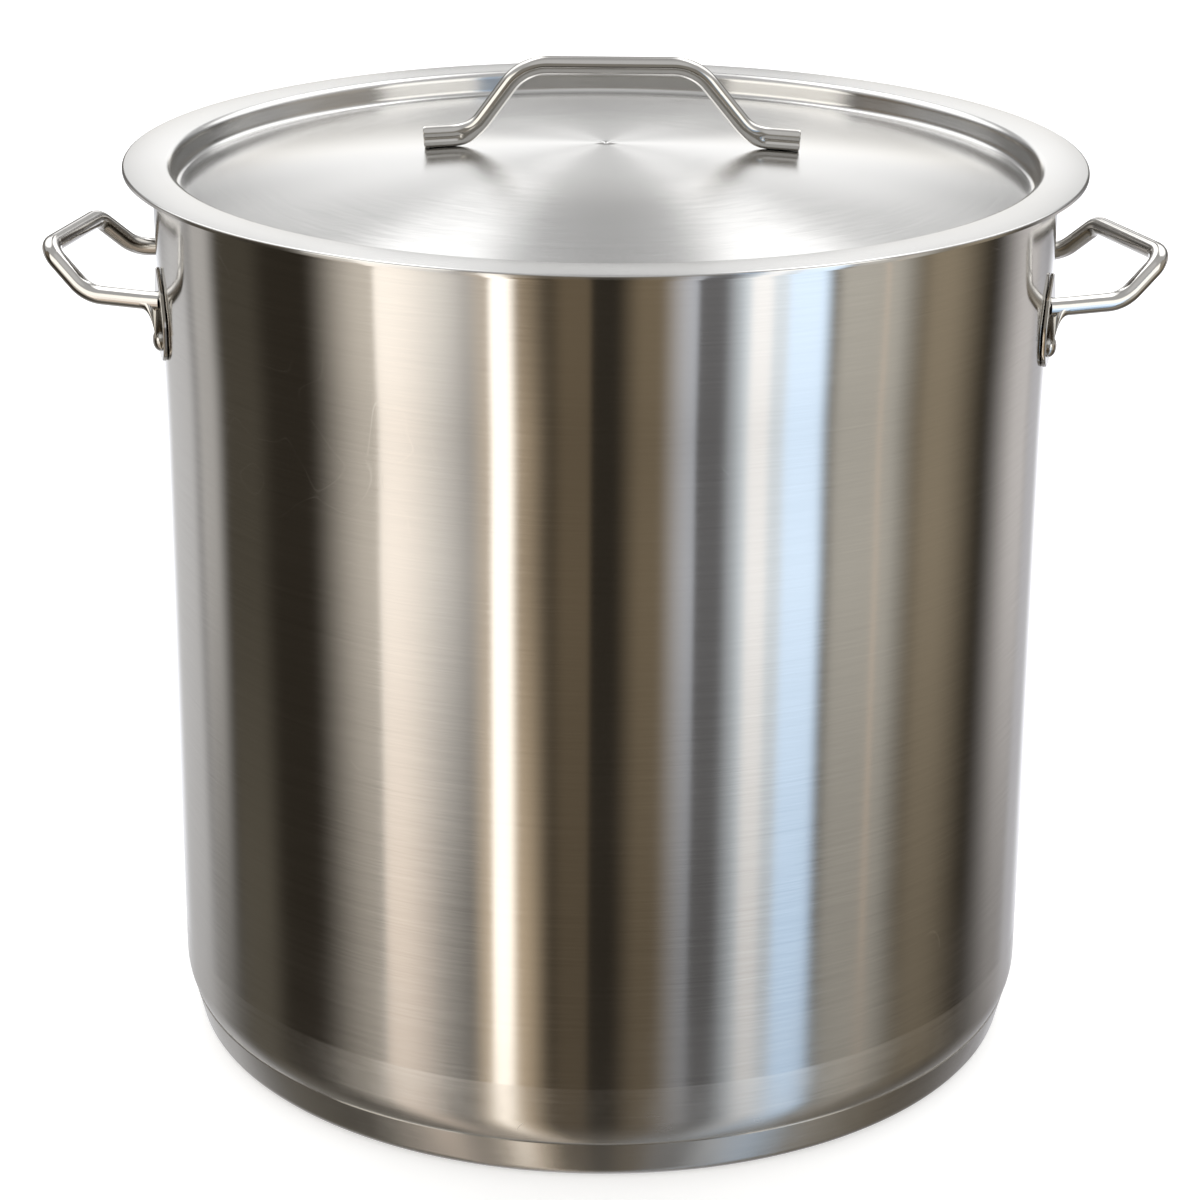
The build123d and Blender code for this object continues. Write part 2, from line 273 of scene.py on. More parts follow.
def bent_tube_tree():
    """Runs a round tube along edges with rounded corners, and presses its ends upright."""
    board, ends = new_tree("Bent Tube", (
        ("Tube Radius", "NodeSocketFloat", 0.005),
        ("Bend Steps", "NodeSocketInt", 20),
        ("Round Steps", "NodeSocketInt", 48),
        ("Step Length", "NodeSocketFloat", 0.0016),
        ("Foot Length", "NodeSocketFloat", 0.0),
        ("Press Length", "NodeSocketFloat", 0.012),
        ("Foot Half Width", "NodeSocketFloat", 0.0043),
        ("Foot Half Height", "NodeSocketFloat", 0.0061),
        ("Groove Radius", "NodeSocketFloat", 0.0026),
        ("Groove Depth", "NodeSocketFloat", 0.0013),
        ("Material", "NodeSocketMaterial", None),
    ))
    line = rounded_line(board, ends)
    line = board.add("GeometryNodeResampleCurve", {"mode": "LENGTH"}, {
        "Curve": line, "Length": ends["Step Length"],
    })
    reach = board.outputs(board.add("GeometryNodeSplineParameter"))["Length"]
    whole = board.outputs(board.add("GeometryNodeSplineLength"))["Length"]
    from_end = reach.math("MINIMUM", reach, whole - reach)
    centre = board.add("GeometryNodeInputPosition")
    line = board.add("GeometryNodeStoreNamedAttribute", {"data_type": "FLOAT_VECTOR"}, {
        "Geometry": line, "Name": "centre", "Value": centre,
    })
    line = board.add("GeometryNodeStoreNamedAttribute", {"data_type": "FLOAT"}, {
        "Geometry": line, "Name": "from end", "Value": from_end,
    })
    ring = board.add("GeometryNodeCurvePrimitiveCircle", None, {
        "Resolution": ends["Round Steps"], "Radius": ends["Tube Radius"],
    })
    tube = board.add("GeometryNodeCurveToMesh", None, {0: line, 1: ring, "Fill Caps": True})
    centre = board.named("FLOAT_VECTOR", "centre")
    from_end = board.named("FLOAT", "from end")
    place = board.add("GeometryNodeInputPosition")
    ax, ay, az = board.parts(board.arrows("SUBTRACT", place, centre))
    radius, half_width, groove = ends["Tube Radius"], ends["Foot Half Width"], ends["Groove Radius"]
    foot, press = ends["Foot Length"], ends["Press Length"]
    pressed = from_end.fade(foot + press, foot)
    grooved = from_end.fade(foot + press * 0.2, foot - press * 0.2)
    rise = ends["Foot Half Height"] / radius
    height = (ax * ax + az * az) ** 0.5 * rise
    bowl = groove * groove - height * height
    bowl = bowl.math("MAXIMUM", bowl, 0.0) ** 0.5
    hollow = half_width + groove - ends["Groove Depth"] * grooved - bowl
    side = abs(ay) / radius * half_width
    side = side.math("MINIMUM", side, hollow) * ay.math("SIGN", ay)
    stretch = 1.0 + (rise - 1.0) * pressed
    moved = board.vector(ax * stretch, ay + (side - ay) * pressed, az * stretch)
    placed = board.arrows("ADD", centre, moved)
    tube = board.add("GeometryNodeSetPosition", None, {0: tube, "Position": placed})
    return close_tree(board, tube, ends["Material"])


def rivet_set_tree():
    """Stands a copy of one rivet on each point, along that point's outward direction."""
    board, ends = new_tree("Rivet Set", (
        ("Rivet", "NodeSocketObject", None),
        ("Material", "NodeSocketMaterial", None),
    ))
    source = board.add("GeometryNodeObjectInfo", None, {"Object": ends["Rivet"]})
    rivet = board.outputs(source)["Geometry"]
    outward = board.named("FLOAT_VECTOR", "outward")
    turn = board.add("FunctionNodeAlignRotationToVector", {"axis": "Z"}, {"Vector": outward})
    points = board.add("GeometryNodeMeshToPoints", None, {"Mesh": ends["Geometry"]})
    copies = board.add("GeometryNodeInstanceOnPoints", None, {
        "Points": points, "Instance": rivet, "Rotation": turn,
    })
    return close_tree(board, copies, ends["Material"])


def grown(name, mesh, tree, values, extra=None):
    """Runs a tree on a mesh, with any further modifiers, and returns the plain result."""
    host = bpy.data.objects.new(name, mesh)
    bpy.context.scene.collection.objects.link(host)
    modifier = host.modifiers.new(tree.name, "NODES")
    modifier.node_group = tree
    inputs = (item for item in tree.interface.items_tree if item.in_out == "INPUT")
    named = {item.name: item.identifier for item in inputs}
    for label, value in values.items():
        modifier[named[label]] = value
    for kind, settings in extra or ():
        added = host.modifiers.new(kind.title(), kind)
        for key, value in settings.items():
            setattr(added, key, value)
    graph = bpy.context.evaluated_depsgraph_get()
    result = bpy.data.meshes.new_from_object(host.evaluated_get(graph), depsgraph=graph)
    bpy.data.objects.remove(host)
    for helper in ("bend", "centre", "from end"):
        if helper in result.attributes:
            result.attributes.remove(result.attributes[helper])
    return result


def edge_line(name, corners):
    """Edges through corners given as a place and a bend radius."""
    mesh = bpy.data.meshes.new(name)
    places = [tuple(place) for place, bend in corners]
    mesh.from_pydata(places, [(i, i + 1) for i in range(len(places) - 1)], [])
    bends = mesh.attributes.new("bend", "FLOAT", "POINT")
    bends.data.foreach_set("value", [bend for place, bend in corners])
    return mesh


def tidy_mesh(mesh, keep_angle=35.0):
    """Merges doubles, turns the faces outwards and keeps only real edges sharp."""
    work = bmesh.new()
    work.from_mesh(mesh)
    bmesh.ops.remove_doubles(work, verts=work.verts, dist=1e-7)
    if work.calc_volume(signed=True) < 0:
        bmesh.ops.reverse_faces(work, faces=work.faces)
    for face in work.faces:
        face.smooth = True
    work.to_mesh(mesh)
    work.free()
    mesh.set_sharp_from_angle(angle=math.radians(keep_angle))
    return mesh


def show(name, mesh, body, nodes):
    """Puts a finished mesh in the scene in place of its CAD nodes."""
    piece = bpy.data.objects.new(name, mesh)
    bpy.context.scene.collection.objects.link(piece)
    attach(piece, body)
    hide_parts(*nodes)


def spun_piece(name, section, side, thickness, material, bend_steps=8):
    """A sheet of one thickness spun from a section of (radius, height, bend) corners."""
    line = edge_line(name, [((radius, 0.0, height), bend) for radius, height, bend in section])
    values = {"Segments": 256, "Bend Steps": bend_steps, "Material": material}
    wall = {"thickness": thickness, "offset": side, "use_even_offset": True, "use_rim": True}
    return tidy_mesh(grown(name, line, spun_sheet_tree(), values, (("SOLIDIFY", wall),)))


# ---- finishes ----


class Finish(Board):
    """A metal finish, with the places on the piece that its patterns read."""

    def __init__(self, name, colour, anisotropy):
        self.material = bpy.data.materials.new(name)
        self.material.use_nodes = True
        super().__init__(self.material.node_tree)
        self.shader = self.tree.nodes["Principled BSDF"]
        self.shader.inputs["Metallic"].default_value = 1.0
        self.shader.inputs["Anisotropic"].default_value = anisotropy
        self.shader.inputs["Anisotropic Rotation"].default_value = 0.25
        self.colour = (*colour, 1.0)
        self.place = self.outputs(self.add("ShaderNodeTexCoord"))["Object"]
        self.x, self.y, self.z = self.parts(self.place)
        self.radius = (self.x * self.x + self.y * self.y + 1e-8) ** 0.5
        self.east = self.x / self.radius
        self.north = self.y / self.radius

    def rings(self, along, spread, pitch):
        """Brush lines that run round the axis: fine across them and drawn out along them."""
        lines = self.vector(self.east * spread, self.north * spread, along * pitch)
        return self.noise(lines, 1.0, 3.0, 0.65)

    def hairlines(self, scale, width, amount, seed):
        """Thin curved scratches, only here and there."""
        moved = self.arrows("ADD", self.place, (seed, seed * 1.7, seed * 0.6))
        path = self.noise(moved, scale, 1.0, 0.4)
        line = abs(path - 0.5).fade(width, 0.0)
        where = self.noise(moved, scale * 1.9, 2.0).fade(0.66 - amount, 0.74 - amount)
        return line * where

    def shade(self, factor):
        """The metal's colour made lighter or darker, with its alpha."""
        return tuple(channel * factor for channel in self.colour[:3]) + (1.0,)

    def tone(self, share, dark, light):
        """The metal's colour between a darker and a lighter shade."""
        return self.blend(share, self.shade(dark), self.shade(light))

    def finish(self, colour, roughness, height, strength, distance=0.0002):
        """Joins the colour, the roughness and the relief to the shader."""
        links = self.tree.links
        links.new(colour.socket, self.shader.inputs["Base Color"])
        links.new(roughness.socket, self.shader.inputs["Roughness"])
        inputs = {"Strength": strength, "Distance": distance, "Height": height}
        bump = self.add("ShaderNodeBump", None, inputs)
        links.new(bump.socket, self.shader.inputs["Normal"])
        return self.material


# Where the front of the wall was knocked and scratched.
KNOCK_X, KNOCK_Z = -0.14, 0.4


def brushed_wall(name, looks, low, high, worn=0.0):
    """Sheet brushed round and round, with a few scratches and a patchy film, darker in patches
    towards the bottom.
    """
    metal = Finish(name, looks.wall_colour, looks.brush_direction)
    fine = metal.rings(metal.z, spread=7.0, pitch=1500.0)
    broad = metal.rings(metal.z, spread=2.0, pitch=420.0)
    cloud = metal.noise(metal.place, 7.0, 3.0, 0.55) - 0.5
    film = metal.noise(metal.place, 22.0, 4.0, 0.6)
    aside, above = metal.x - KNOCK_X, metal.z - KNOCK_Z
    knocked = (aside * aside + above * above).fade(0.005, 0.0015) * metal.y.fade(0.0, -0.1)
    scratches = metal.hairlines(scale=26.0, width=0.006, amount=0.3, seed=3.1) * knocked
    scratches = scratches + metal.hairlines(scale=17.0, width=0.004, amount=0.02, seed=7.7)
    # Towards the bottom the colour is made darker and the steel rougher, in patches.
    foot = metal.z.fade(high * 0.3, low)
    grain = (fine - 0.5) * 0.55 + (broad - 0.5) * 0.35
    tone = grain * 0.6 + cloud * 0.16 + (film - 0.5) * (0.08 + worn * 0.3)
    tone = tone + 0.5 + worn * 0.08
    colour = metal.tone(tone, 0.76, 1.24)
    colour = metal.blend(scratches * 0.2, colour, metal.shade(1.4))
    colour = metal.blend(foot * film * 0.35, colour, metal.shade(0.72))
    roughness = looks.wall_roughness + grain * 0.12 + cloud * 0.07 + foot * film * 0.08
    roughness = roughness + scratches * 0.06 + film * worn * 0.14
    height = fine * 0.6 + broad * 0.5 + scratches * 0.25
    return metal.finish(colour, roughness, height, looks.brush_depth)


def brushed_lid(name, looks):
    """Sheet brushed in rings from the middle to the edge."""
    metal = Finish(name, looks.lid_colour, looks.brush_direction)
    along = metal.radius + metal.z
    fine = metal.rings(along, spread=9.0, pitch=1300.0)
    broad = metal.rings(along, spread=2.5, pitch=330.0)
    cloud = metal.noise(metal.place, 9.0, 3.0, 0.55) - 0.5
    scratches = metal.hairlines(scale=14.0, width=0.004, amount=0.03, seed=1.3)
    grain = (fine - 0.5) * 0.55 + (broad - 0.5) * 0.4
    tone = grain * 0.6 + cloud * 0.12 + 0.5
    colour = metal.tone(tone, 0.8, 1.2)
    colour = metal.blend(scratches * 0.25, colour, metal.shade(1.35))
    roughness = looks.lid_roughness + grain * 0.14 + cloud * 0.06 + scratches * 0.08
    height = fine * 0.6 + broad * 0.5 + scratches * 0.25
    return metal.finish(colour, roughness, height, looks.brush_depth * 0.4)


def polished_tube(name, looks):
    """Drawn tube, polished, with the soft unevenness that polishing leaves."""
    metal = Finish(name, looks.tube_colour, 0.0)
    cloud = metal.noise(metal.place, 45.0, 3.0, 0.55)
    grain = metal.noise(metal.place, 900.0, 2.0, 0.6)
    nicks = metal.hairlines(scale=60.0, width=0.01, amount=0.02, seed=5.5)
    tone = (cloud - 0.5) * 0.25 + (grain - 0.5) * 0.15 + 0.5
    colour = metal.tone(tone, 0.84, 1.16)
    roughness = looks.tube_roughness + (cloud - 0.5) * 0.08 + (grain - 0.5) * 0.05 + nicks * 0.1
    height = cloud * 0.7 + grain * 0.12 + nicks * 0.2
    return metal.finish(colour, roughness, height, 0.35, 0.0003)


def pressed_aluminium(name):
    """Dull aluminium with the grain of pressing."""
    metal = Finish(name, (0.77, 0.77, 0.76), 0.0)
    grain = metal.noise(metal.place, 320.0, 4.0, 0.6)
    cloud = metal.noise(metal.place, 30.0, 3.0) - 0.5
    tone = (grain - 0.5) * 0.3 + cloud * 0.3 + 0.5
    colour = metal.tone(tone, 0.82, 1.1)
    roughness = 0.42 + (grain - 0.5) * 0.2 + cloud * 0.1
    return metal.finish(colour, roughness, grain, 0.3)


# ---- sizes and looks that a user may change ----


def length(name, description, default):
    """A setting that is a length in metres."""
    return FloatProperty(name=name, description=description, default=default, unit="LENGTH")


def lengths(name, description, default):
    """A setting that holds three lengths in metres."""
    return FloatVectorProperty(name=name, description=description, default=default, unit="LENGTH")


def angle(name, description, degrees):
    """A setting that is an angle."""
    turn = math.radians(degrees)
    return FloatProperty(name=name, description=description, default=turn, subtype="ANGLE")


def portion(name, description, default):
    """A setting from 0 to 1."""
    return FloatProperty(
        name=name, description=description, default=default, min=0.0, max=1.0, subtype="FACTOR"
    )


def tint(name, description, default):
    """A setting that is a colour."""
    return FloatVectorProperty(name=name, description=description, default=default, subtype="COLOR")


class KettleSizes(bpy.types.PropertyGroup):
    """Sizes of the kettle's body."""

    sheet: length("Sheet", "Thickness of the wall's steel", 0.001)
    cap_sheet: length("Base sheet", "Thickness of the cap under the base", 0.0008)
    ease_start: length("Ease start", "Height at which the wall starts to open out", 0.35)
    ease_end: length("Ease end", "Height at which the wall has opened out", 0.505)
    ease_out: length("Ease", "How far the wall opens out towards the rim", 0.0024)
    rim_bend: length("Rim bend", "Radius of the bend from wall to rim", 0.0035)
    rim_drop: length("Rim edge", "Depth of the rim's turned edge", 0.004)
    rim_edge_bend: length("Rim edge bend", "Radius of the rim's turned edge", 0.002)
    floor: length("Floor", "Height of the floor inside", 0.009)
    dish_corner: length("Bottom corner", "Radius between floor and wall inside", 0.029)
    cap_corner: length("Base corner", "Distance of the base's lower corner from the axis", 0.2423)
    cap_bend: length("Base bend", "Radius of the base's lower corner", 0.008)


class LidSizes(bpy.types.PropertyGroup):
    """Sizes of the lid."""

    sheet: length("Sheet", "Thickness of the lid's steel", 0.001)
    flange_height: length("Flange", "Height of the flange's top above the ground", 0.5152)
    lip_drop: length("Lip", "Depth of the flange's turned edge", 0.0023)
    lip_bend: length("Lip bend", "Radius of the flange's turned edge", 0.0012)
    recess_radius: length("Recess", "Distance of the recess wall from the axis", 0.2419)
    recess_bend: length("Recess bend", "Radius between flange and recess wall", 0.0045)
    recess_fillet: length("Recess fillet", "Radius at the foot of the recess wall", 0.004)
    panel_edge: length("Panel edge", "Height of the panel at its edge", 0.5004)
    mark_radius: length("Centre mark", "Radius of the spinning mark in the middle", 0.0016)
    mark_depth: length("Mark depth", "Depth of the spinning mark", 0.0005)


class HandleSizes(bpy.types.PropertyGroup):
    """Sizes of the tube handles, their ears and the rivets."""

    tube: length("Tube", "Diameter of the tube", 0.0104)
    ear_azimuth: angle("Ear azimuth", "Turn of each ear from the handle's middle", 15)
    leg_closing: angle("Leg closing", "How far each leg turns in towards the middle", 20)
    leg_height: length("Leg height", "Height at which the legs leave the ears", 0.4455)
    grip_height: length("Grip height", "Height of the grip's middle", 0.4675)
    front_elbow: length("Front elbow", "Reach of the front elbow", 0.2875)
    corner_front: length("Front corner side", "Sideways place of the front corner", 0.034)
    corner_rear: length("Rear corner side", "Sideways place of the rear corner", 0.037)
    left_reaches: lengths(
        "Left reaches",
        "Reach of the left front corner, rear corner and rear elbow",
        (0.3115, 0.2935, 0.274),
    )
    right_reaches: lengths(
        "Right reaches",
        "Reach of the right front corner, rear corner and rear elbow",
        (0.3124, 0.2845, 0.266),
    )
    elbow_bend: length("Elbow bend", "Radius of the elbows", 0.026)
    corner_bend: length("Corner bend", "Radius of the grip's corners", 0.013)
    ear_sheet: length("Ear", "Thickness of the flattened ears", 0.0022)
    ear_round: length("Ear edge", "Rounding of the ears' edges", 0.0007)
    ear_foot: length("Ear foot", "How far an ear reaches below its rivet", 0.0115)
    ear_lean: angle("Ear lean", "Lean of the ears away from the wall", 1.5)
    ear_gap: length("Ear gap", "Gap between an ear's foot and the wall", 0.0002)
    rivet_height: length("Rivet height", "Height of the rivets", 0.4235)
    rivet_head: length("Rivet head", "Radius of the rivets' heads", 0.0061)
    rivet_rise: length("Rivet rise", "Height of the outer heads", 0.0042)
    rivet_inner_rise: length("Inner rise", "Height of the heads inside", 0.0022)
    rivet_inner_seat: length("Inner seat", "Distance from the ear to the inner heads", 0.0015)
    bar_left: length("Bar left", "Distance of the bar's left corner from its middle", 0.0498)
    bar_right: length("Bar right", "Distance of the bar's right corner from its middle", 0.0463)
    knee: length("Knee", "Distance of the lid handle's knees from its middle", 0.0785)
    foot_end: length("Foot end", "Distance of the lid handle's ends from its middle", 0.1052)
    bar_offset: length("Bar offset", "How far the lid handle stands to the right", 0.0033)
    bar_bend: length("Bar bend", "Radius of the bar's corners", 0.027)
    knee_bend: length("Knee bend", "Radius of the lid handle's knees", 0.023)
    foot_width: length("Foot width", "Width of the pressed feet", 0.0086)
    foot_height: length("Foot height", "Height of the pressed feet", 0.0122)


class KettleLooks(bpy.types.PropertyGroup):
    """Colours and polish of the steel."""

    wall_colour: tint("Wall", "Colour of the kettle's steel", (0.63, 0.615, 0.59))
    lid_colour: tint("Lid", "Colour of the lid's steel", (0.67, 0.665, 0.655))
    tube_colour: tint("Tube", "Colour of the handles' steel", (0.62, 0.605, 0.58))
    wall_roughness: portion("Wall roughness", "Roughness of the brushed wall", 0.12)
    lid_roughness: portion("Lid roughness", "Roughness of the brushed lid", 0.19)
    tube_roughness: portion("Tube roughness", "Roughness of the polished tube", 0.07)
    brush_direction: portion("Brushing", "How much the brushing draws reflections out", 0.95)
    brush_depth: portion("Brush depth", "Strength of the brush lines' relief", 0.06)


class StageSettings(bpy.types.PropertyGroup):
    """Camera, floor and light."""

    camera_place: FloatVectorProperty(
        name="Camera",
        description="Where the camera stands",
        default=(0.0, -1.8175, 0.9184),
        subtype="TRANSLATION",
    )
    tilt: angle("Tilt", "How far the camera looks down", 20.254)
    pan: angle("Pan", "How far the camera looks to the left", 0.05)
    roll: angle("Roll", "How far the camera is turned about its own axis", 0.39)
    lens: FloatProperty(
        name="Lens", description="Focal length on a 36 mm sensor", default=98.4, unit="CAMERA"
    )
    floor_glow: FloatProperty(
        name="Floor glow", description="Light that the white floor gives by itself", default=0.5
    )
    sky_light: FloatProperty(
        name="Overhead light", description="Strength of the soft light overhead", default=1.15
    )


class KettleSettings(bpy.types.PropertyGroup):
    """All the settings of the kettle."""

    kettle: PointerProperty(type=KettleSizes)
    lid: PointerProperty(type=LidSizes)
    handle: PointerProperty(type=HandleSizes)
    looks: PointerProperty(type=KettleLooks)
    stage: PointerProperty(type=StageSettings)


# ---- handle geometry ----

# Each circle that an ear's outline is drawn round: height above the rivet and radius.
EAR_ROUNDS = ((0.002, 0.0135), (0.012, 0.0149), (0.024, 0.0116), (0.0387, 0.0028))

# Where the tube flattens into the ear: height above the rivet, distance off the wall,
# drop angle, half width and half thickness.
EAR_FLARE = (
    (0.0206, 0.0064, 25, 0.0054, 0.0047),
    (0.0164, 0.0034, 60, 0.0069, 0.0030),
    (0.0085, 0.0013, 88, 0.0080, 0.0011),
    (0.003, 0.0009, 90, 0.0086, 0.0007),
)
# How far the round tube runs out of the ear before its leg starts.
EAR_STUB = 0.0112
# The bevel of the plate's back, and rings just inside the edges that keep the plate flat.
EAR_BACK_EDGE = 0.0003
EAR_BACK_RING = 0.0008
EAR_FACE_RINGS = (0.0004, 0.0012)
# The tube inside the plate is kept this far in front of the plate's back, out to EAR_REACH.
BURIED = 0.0005
EAR_REACH = 0.06
EASE_STEPS = 24
# The angle in degrees from which an edge of a rivet is sharp.
DOME_EDGE = 60.0


def wall_ease(share):
    """How far the wall has opened out at a share of its ease, as two arcs that meet halfway."""
    return 2 * share**2 if share < 0.5 else 1 - 2 * (1 - share) ** 2


def ear_frame(sizes, azimuth):
    """The place and turn of an ear: x along the wall, y up, z off the wall."""
    wall = bpy.context.scene.kettle.kettle
    foot_height = sizes.rivet_height - sizes.ear_foot
    foot_share = (foot_height - wall.ease_start) / (wall.ease_end - wall.ease_start)
    base = DISH_HIGH.x + wall.ease_out * wall_ease(foot_share)
    base += sizes.ear_gap + sizes.ear_foot * math.sin(sizes.ear_lean)
    outward = Vector((math.cos(azimuth), math.sin(azimuth), 0.0))
    along = Vector((-outward.y, outward.x, 0.0))
    off_wall = outward * math.cos(sizes.ear_lean) - Vector((0.0, 0.0, math.sin(sizes.ear_lean)))
    up = off_wall.cross(along)
    turn = Matrix((along, up, off_wall)).transposed().to_4x4()
    return Matrix.Translation(outward * base + Vector((0.0, 0.0, sizes.rivet_height))) @ turn


def ear_leg(sizes):
    """Foot and direction of the leg in the ear's frame."""
    turn = sizes.ear_azimuth + sizes.leg_closing
    foot = Vector((0.0, sizes.leg_height - sizes.rivet_height, 0.0))
    return foot, Vector((math.sin(turn), 0.0, math.cos(turn)))


def turns(count):
    """Angles in equal steps all the way round."""
    return [2 * math.pi * k / count for k in range(count)]


def even_loop(points, count):
    """The closed outline through points, walked in equal steps."""
    closed = points + points[:1]
    spans = [(b - a).length for a, b in zip(closed, closed[1:])]
    step = sum(spans) / count
    loop, walked, i = [], 0.0, 0
    for k in range(count):
        goal = k * step
        while walked + spans[i] < goal:
            walked += spans[i]
            i += 1
        loop.append(closed[i].lerp(closed[i + 1], (goal - walked) / spans[i]))
    return loop


def ear_outline(count=120):
    """The ear's outline, round its circles, in equal steps."""
    around = turns(90)
    cloud = [Vector((r * math.cos(a), h + r * math.sin(a))) for h, r in EAR_ROUNDS for a in around]
    return even_loop([cloud[i] for i in convex_hull_2d(cloud)], count)


def skin(work, rings):
    """Joins rings of points, all of one count, with quads and closes both ends."""
    made = [[work.verts.new(point) for point in ring] for ring in rings]
    for lower, upper in zip(made, made[1:]):
        for i in range(len(lower)):
            k = (i + 1) % len(lower)
            work.faces.new((lower[i], lower[k], upper[k], upper[i]))
    work.faces.new(reversed(made[0]))
    work.faces.new(made[-1])


def ear_rings(sizes):
    """Rings of the ear's plate from its back to its face, with rounded edges."""
    outline = ear_outline()
    count = len(outline)
    inward = []
    for i, point in enumerate(outline):
        run = (outline[(i + 1) % count] - outline[i - 1]).normalized()
        inward.append(Vector((-run.y, run.x)))
    middle = Vector((0.0, EAR_ROUNDS[1][0]))
    if (middle - outline[0]).dot(inward[0]) < 0:
        inward = [-side for side in inward]
    edge, top = sizes.ear_round, sizes.ear_sheet
    levels = [(EAR_BACK_RING, 0.0), (EAR_BACK_EDGE, 0.0), (0.0, EAR_BACK_EDGE)]
    for turn in (math.radians(15 * k) for k in range(7)):
        levels.append((edge * (1 - math.cos(turn)), top - edge + edge * math.sin(turn)))
    levels += [(edge + inset, top) for inset in EAR_FACE_RINGS]
    return [
        [Vector((*(point + side * inset), height)) for point, side in zip(outline, inward)]
        for inset, height in levels
    ]


def flare_rings(sizes, steps=8, count=48):
    """Rings of the tube as it bends down and flattens into the ear."""
    foot, run = ear_leg(sizes)
    across = Vector((-run.z, 0.0, run.x))
    radius = sizes.tube / 2
    stations = [(foot + run * EAR_STUB, -run, radius, radius)]
    for height, off_wall, drop, half_width, half_thickness in EAR_FLARE:
        drop = math.radians(drop)
        middle = Vector((run.x * off_wall / run.z, height, off_wall))
        direction = -run * math.cos(drop) - Vector((0.0, math.sin(drop), 0.0))
        stations.append((middle, direction, half_width, half_thickness))
    track = [(*m, *d, w, t) for m, d, w, t in stations]
    track = [track[0], *track, track[-1]]
    rings = []
    for before, start, end, after in zip(track, track[1:], track[2:], track[3:]):
        for k in range(steps):
            u = k / steps
            # The weights of a smooth curve that passes through each station.
            weights = (
                (-u + 2 * u * u - u**3) / 2,
                (2 - 5 * u * u + 3 * u**3) / 2,
                (u + 4 * u * u - 3 * u**3) / 2,
                (u**3 - u * u) / 2,
            )
            columns = zip(before, start, end, after)
            mixed = [sum(w * v for w, v in zip(weights, values)) for values in columns]
            middle, direction = Vector(mixed[:3]), Vector(mixed[3:6]).normalized()
            half_width, half_thickness = mixed[6:]
            thick = direction.cross(across).normalized()
            side = thick.cross(direction).normalized()
            ring = []
            for a in turns(count):
                point = middle + side * half_width * math.cos(a)
                ring.append(point + thick * half_thickness * math.sin(a))
            rings.append(ring)
    return rings


def side_handle_mesh(name, sizes, reaches, mirror_x, material):
    """A side handle's tube and its two ears, as one mesh."""
    front_corner, rear_corner, rear_elbow = reaches
    front = ear_frame(sizes, -sizes.ear_azimuth)
    foot, run = ear_leg(sizes)
    start = front @ foot
    leg = front @ (foot + run * EAR_STUB)
    slope = math.tan(sizes.leg_closing)
    rear_turn = Matrix.Diagonal((1.0, -1.0, 1.0, 1.0))
    line = edge_line(name, (
        (start, 0.0),
        (leg, 0.0),
        ((sizes.front_elbow, leg.y + slope * (sizes.front_elbow - leg.x), leg.z), sizes.elbow_bend),
        ((front_corner, -sizes.corner_front, sizes.grip_height), sizes.corner_bend),
        ((rear_corner, sizes.corner_rear, sizes.grip_height), sizes.corner_bend),
        ((rear_elbow, -leg.y - slope * (rear_elbow - leg.x), leg.z), sizes.elbow_bend),
        (rear_turn @ leg, 0.0),
        (rear_turn @ start, 0.0),
    ))
    values = {"Tube Radius": sizes.tube / 2, "Foot Length": -1.0, "Material": material}
    tube = grown(name, line, bent_tube_tree(), values)
    work = bmesh.new()
    work.from_mesh(tube)
    ears = (front, rear_turn @ front)
    for turn in ears:
        back = turn.inverted()
        for vert in work.verts:
            place = back @ vert.co
            if place.z < BURIED and place.length < EAR_REACH:
                vert.co = turn @ Vector((place.x, place.y, BURIED))
    for turn in ears:
        for rings in (ear_rings(sizes), flare_rings(sizes)):
            skin(work, [[turn @ point for point in ring] for ring in rings])
    if mirror_x:
        bmesh.ops.scale(work, vec=(-1.0, 1.0, 1.0), verts=work.verts)
    bmesh.ops.recalc_face_normals(work, faces=work.faces)
    work.to_mesh(tube)
    work.free()
    return tidy_mesh(tube)


def crown(radius, sizes):
    """Height of the crowned panel at a distance from the axis."""
    rise = LID_HIGH.z - sizes.panel_edge
    ball = (sizes.recess_radius**2 + rise**2) / (2 * rise)
    return LID_HIGH.z - ball + math.sqrt(ball**2 - radius**2), ball


def lit_strips(board, azimuth, strips, floor_share, power=1.0):
    """The light of a row of strip lights, which fade by their own share towards the floor."""
    total = board.vector(*DARK_ROOM)
    for start, end, before, after, colour, left in strips:
        lit = azimuth.fade(start - before, start) * azimuth.fade(end, end + after, 1.0, 0.0)
        lit = lit * (1.0 + floor_share * (left - 1.0))
        scaled = {0: tuple(channel * power for channel in colour), "Scale": lit}
        strip = board.add("ShaderNodeVectorMath", {"operation": "SCALE"}, scaled)
        total = board.arrows("ADD", total, strip)
    return total


def card_light(board, azimuth, z):
    """The light of the strips all round, dim near the floor, with the floor's own light below."""
    near_floor = z.fade(*NEAR_FLOOR)
    low = lit_strips(board, azimuth, WALL_STRIPS, near_floor, WALL_STRIPS_POWER)
    low = board.blend(near_floor * 0.12, low, BLACK)
    low = board.blend(z.fade(*ON_FLOOR) * 0.35, low, FLOOR_LIGHT)
    high = lit_strips(board, azimuth, WINDOW_STRIPS, 0.0)
    return board.blend(z.fade(*OVER_STRIPS), low, high)


